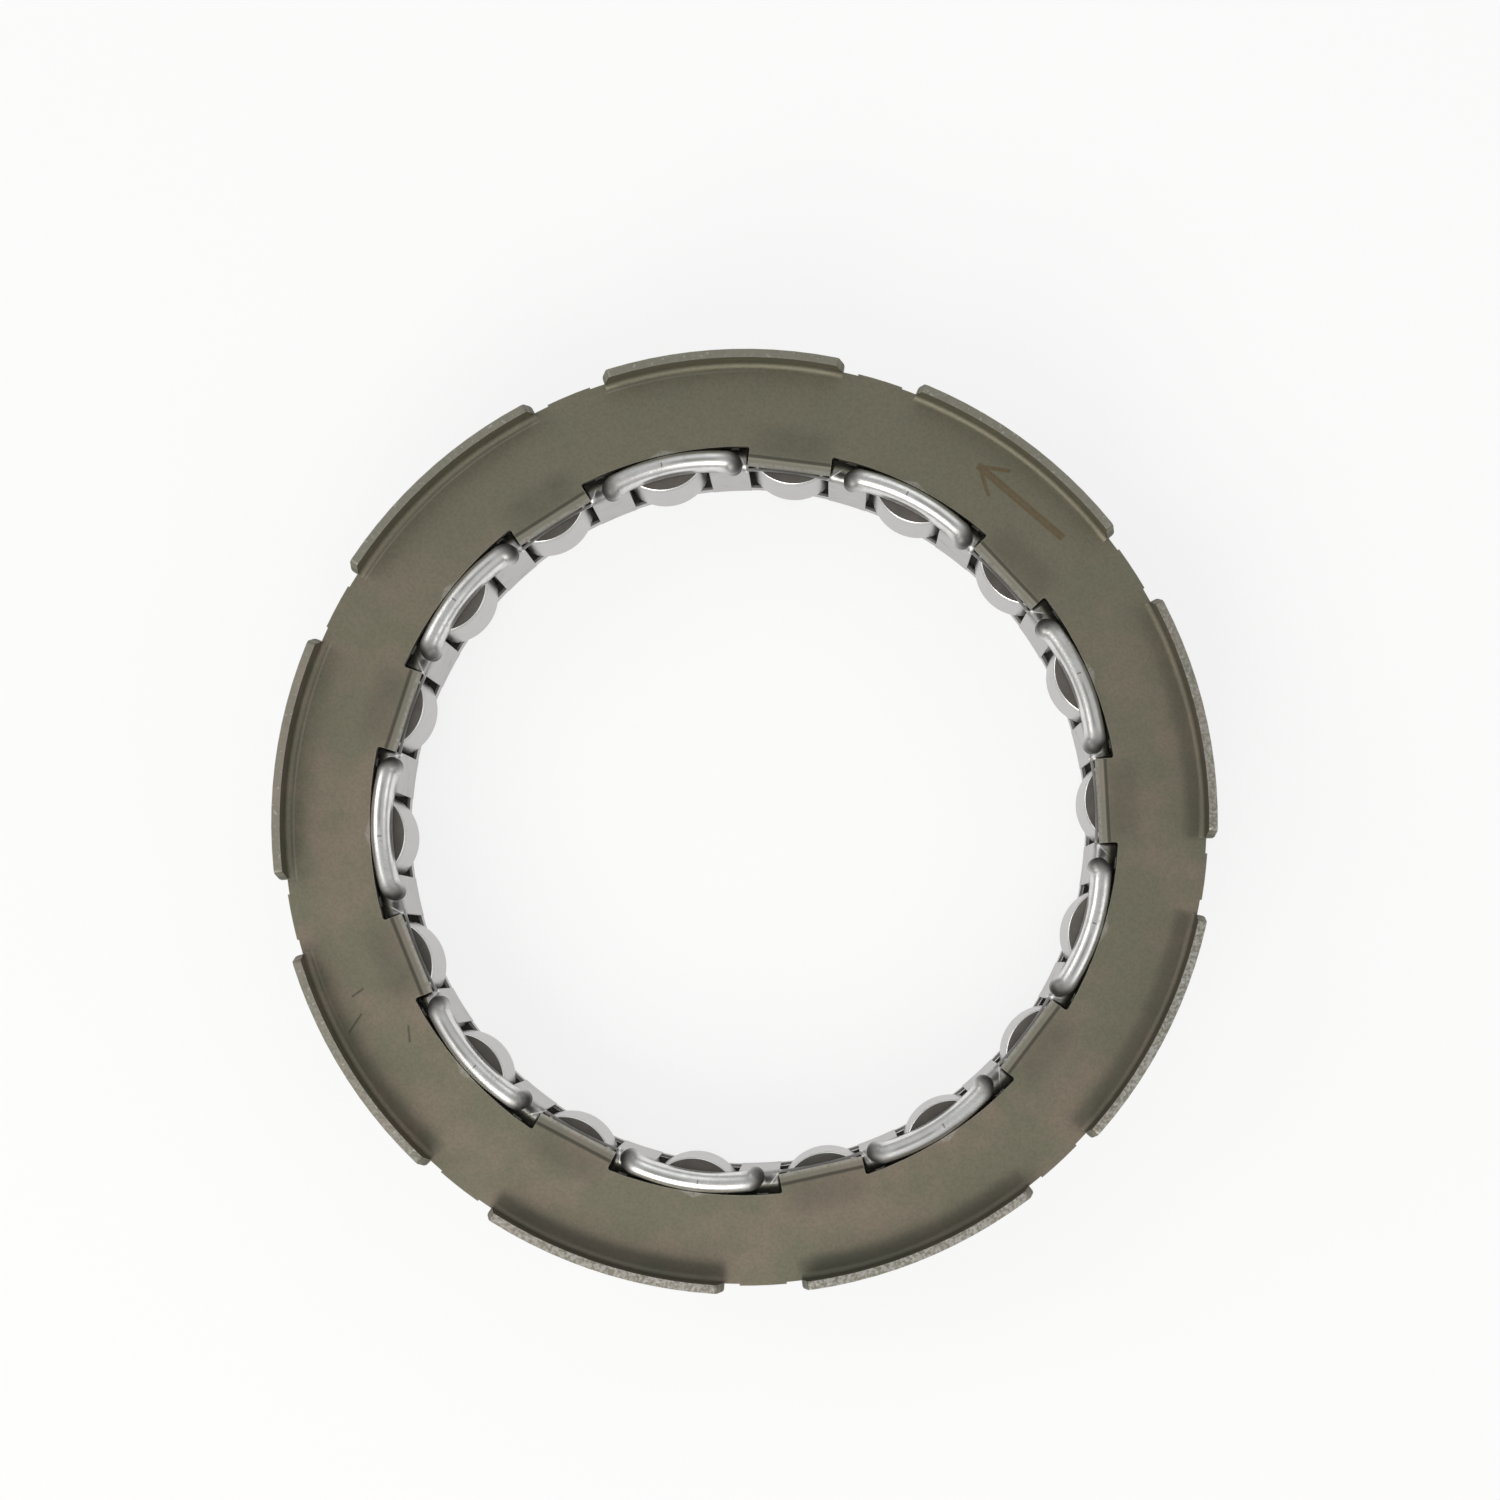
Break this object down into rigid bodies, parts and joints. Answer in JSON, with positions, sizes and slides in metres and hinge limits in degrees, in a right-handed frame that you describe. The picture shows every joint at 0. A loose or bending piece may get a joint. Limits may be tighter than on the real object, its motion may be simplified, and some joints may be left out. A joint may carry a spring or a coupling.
{
  "type": "sprag clutch",
  "caption": "Flanged one-way sprag clutch insert: outer cage with upturned rim lips, bright inner cage with bullnosed loops, ribbon spring and a ring of tilting sprags.",
  "frame": {"origin": "on the clutch axis, in the plane of the outer cage's back rail, which the clutch lies on", "axes": "+Z along the clutch axis, out of the flange's lipped and marked face; +X passes 2.5 degrees clockwise of the middle of a flange tooth"},
  "size_m": [0.068, 0.068, 0.0115],
  "materials": {
    "flange_steel": "dull pressed sheet, olive grey to brown",
    "cage_steel": "dull drawn sheet",
    "bright_strip": "bright stainless strip, drawn and tumbled",
    "spring_strip": "bright spring strip",
    "sprag_steel": "hardened, polished cams, dull dark ends"
  },
  "bodies": {
    "outer_cage": {"flange_ring": "flange_steel", "outer_cage": "cage_steel", "ribbon_spring": "spring_strip"},
    "inner_cage": {"inner_cage": "bright_strip"},
    "sprag_01": {"sprag_01": "sprag_steel"},
    "sprag_02": {"sprag_02": "sprag_steel"},
    "sprag_03": {"sprag_03": "sprag_steel"},
    "sprag_04": {"sprag_04": "sprag_steel"},
    "sprag_05": {"sprag_05": "sprag_steel"},
    "sprag_06": {"sprag_06": "sprag_steel"},
    "sprag_07": {"sprag_07": "sprag_steel"},
    "sprag_08": {"sprag_08": "sprag_steel"},
    "sprag_09": {"sprag_09": "sprag_steel"},
    "sprag_10": {"sprag_10": "sprag_steel"},
    "sprag_11": {"sprag_11": "sprag_steel"},
    "sprag_12": {"sprag_12": "sprag_steel"},
    "sprag_13": {"sprag_13": "sprag_steel"},
    "sprag_14": {"sprag_14": "sprag_steel"},
    "sprag_15": {"sprag_15": "sprag_steel"},
    "sprag_16": {"sprag_16": "sprag_steel"},
    "sprag_17": {"sprag_17": "sprag_steel"},
    "sprag_18": {"sprag_18": "sprag_steel"}
  },
  "joints": [
    {"name": "inner_cage_turn", "type": "hinge", "parent": "outer_cage", "child": "inner_cage", "pos_m": [0, 0, 0.00465], "axis": [0, 0, 1], "range_deg": [0, 1.03], "stiffness_Nm_per_rad": 0.5, "springref_deg": -2.29},
    {"name": "sprag_01_tilt", "type": "hinge", "parent": "outer_cage", "child": "sprag_01", "pos_m": [0.0305, 0.00063, 0.00465], "axis": [0, 0, 1], "range_deg": [-6, 0]},
    {"name": "sprag_02_tilt", "type": "hinge", "parent": "outer_cage", "child": "sprag_02", "pos_m": [0.02845, 0.01103, 0.00465], "axis": [0, 0, 1], "range_deg": [-6, 0]},
    {"name": "sprag_03_tilt", "type": "hinge", "parent": "outer_cage", "child": "sprag_03", "pos_m": [0.02296, 0.02009, 0.00465], "axis": [0, 0, 1], "range_deg": [-6, 0]},
    {"name": "sprag_04_tilt", "type": "hinge", "parent": "outer_cage", "child": "sprag_04", "pos_m": [0.0147, 0.02673, 0.00465], "axis": [0, 0, 1], "range_deg": [-6, 0]},
    {"name": "sprag_05_tilt", "type": "hinge", "parent": "outer_cage", "child": "sprag_05", "pos_m": [0.00468, 0.03015, 0.00465], "axis": [0, 0, 1], "range_deg": [-6, 0]},
    {"name": "sprag_06_tilt", "type": "hinge", "parent": "outer_cage", "child": "sprag_06", "pos_m": [-0.00592, 0.02993, 0.00465], "axis": [0, 0, 1], "range_deg": [-6, 0]},
    {"name": "sprag_07_tilt", "type": "hinge", "parent": "outer_cage", "child": "sprag_07", "pos_m": [-0.0158, 0.0261, 0.00465], "axis": [0, 0, 1], "range_deg": [-6, 0]},
    {"name": "sprag_08_tilt", "type": "hinge", "parent": "outer_cage", "child": "sprag_08", "pos_m": [-0.02377, 0.01912, 0.00465], "axis": [0, 0, 1], "range_deg": [-6, 0]},
    {"name": "sprag_09_tilt", "type": "hinge", "parent": "outer_cage", "child": "sprag_09", "pos_m": [-0.02888, 0.00984, 0.00465], "axis": [0, 0, 1], "range_deg": [-6, 0]},
    {"name": "sprag_10_tilt", "type": "hinge", "parent": "outer_cage", "child": "sprag_10", "pos_m": [-0.0305, -0.00063, 0.00465], "axis": [0, 0, 1], "range_deg": [-6, 0]},
    {"name": "sprag_11_tilt", "type": "hinge", "parent": "outer_cage", "child": "sprag_11", "pos_m": [-0.02845, -0.01103, 0.00465], "axis": [0, 0, 1], "range_deg": [-6, 0]},
    {"name": "sprag_12_tilt", "type": "hinge", "parent": "outer_cage", "child": "sprag_12", "pos_m": [-0.02296, -0.02009, 0.00465], "axis": [0, 0, 1], "range_deg": [-6, 0]},
    {"name": "sprag_13_tilt", "type": "hinge", "parent": "outer_cage", "child": "sprag_13", "pos_m": [-0.0147, -0.02673, 0.00465], "axis": [0, 0, 1], "range_deg": [-6, 0]},
    {"name": "sprag_14_tilt", "type": "hinge", "parent": "outer_cage", "child": "sprag_14", "pos_m": [-0.00468, -0.03015, 0.00465], "axis": [0, 0, 1], "range_deg": [-6, 0]},
    {"name": "sprag_15_tilt", "type": "hinge", "parent": "outer_cage", "child": "sprag_15", "pos_m": [0.00592, -0.02993, 0.00465], "axis": [0, 0, 1], "range_deg": [-6, 0]},
    {"name": "sprag_16_tilt", "type": "hinge", "parent": "outer_cage", "child": "sprag_16", "pos_m": [0.0158, -0.0261, 0.00465], "axis": [0, 0, 1], "range_deg": [-6, 0]},
    {"name": "sprag_17_tilt", "type": "hinge", "parent": "outer_cage", "child": "sprag_17", "pos_m": [0.02377, -0.01912, 0.00465], "axis": [0, 0, 1], "range_deg": [-6, 0]},
    {"name": "sprag_18_tilt", "type": "hinge", "parent": "outer_cage", "child": "sprag_18", "pos_m": [0.02888, -0.00984, 0.00465], "axis": [0, 0, 1], "range_deg": [-6, 0]}
  ],
  "couplings": [
    {"joint": "sprag_01_tilt", "follows": "inner_cage_turn", "ratio": -5.778},
    {"joint": "sprag_02_tilt", "follows": "inner_cage_turn", "ratio": -5.778},
    {"joint": "sprag_03_tilt", "follows": "inner_cage_turn", "ratio": -5.778},
    {"joint": "sprag_04_tilt", "follows": "inner_cage_turn", "ratio": -5.778},
    {"joint": "sprag_05_tilt", "follows": "inner_cage_turn", "ratio": -5.778},
    {"joint": "sprag_06_tilt", "follows": "inner_cage_turn", "ratio": -5.778},
    {"joint": "sprag_07_tilt", "follows": "inner_cage_turn", "ratio": -5.778},
    {"joint": "sprag_08_tilt", "follows": "inner_cage_turn", "ratio": -5.778},
    {"joint": "sprag_09_tilt", "follows": "inner_cage_turn", "ratio": -5.778},
    {"joint": "sprag_10_tilt", "follows": "inner_cage_turn", "ratio": -5.778},
    {"joint": "sprag_11_tilt", "follows": "inner_cage_turn", "ratio": -5.778},
    {"joint": "sprag_12_tilt", "follows": "inner_cage_turn", "ratio": -5.778},
    {"joint": "sprag_13_tilt", "follows": "inner_cage_turn", "ratio": -5.778},
    {"joint": "sprag_14_tilt", "follows": "inner_cage_turn", "ratio": -5.778},
    {"joint": "sprag_15_tilt", "follows": "inner_cage_turn", "ratio": -5.778},
    {"joint": "sprag_16_tilt", "follows": "inner_cage_turn", "ratio": -5.778},
    {"joint": "sprag_17_tilt", "follows": "inner_cage_turn", "ratio": -5.778},
    {"joint": "sprag_18_tilt", "follows": "inner_cage_turn", "ratio": -5.778}
  ]
}
